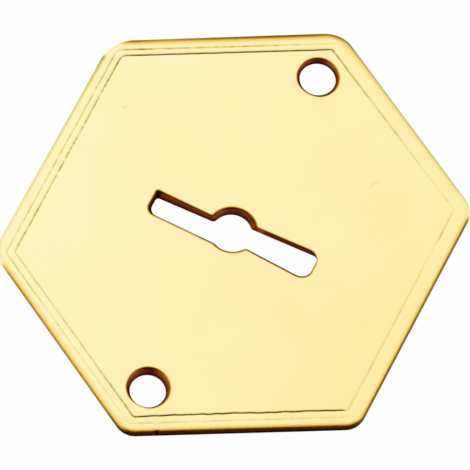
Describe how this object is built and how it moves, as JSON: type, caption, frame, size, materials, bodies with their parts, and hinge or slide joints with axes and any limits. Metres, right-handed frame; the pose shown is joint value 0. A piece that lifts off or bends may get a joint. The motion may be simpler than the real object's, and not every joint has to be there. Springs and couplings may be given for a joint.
{
  "type": "keyhole escutcheon",
  "caption": "Flat brass keyhole escutcheon with six sides, a rounded edge, fine border lines, a double-bit keyhole and screw holes that narrow to the back",
  "frame": {"origin": "Middle of the back face, on the plane that lies against the door, halfway between the two screw holes.", "axes": "+Z out of the visible face, +Y from the middle to one screw hole, +X along the keyhole to its arm with two rounded corners. The plate lies on its back."},
  "size_m": [0.0628, 0.0765, 0.0013],
  "materials": {
    "polished_brass": "polished"
  },
  "bodies": {
    "root": {"escutcheon_plate": "polished_brass"}
  },
  "joints": []
}
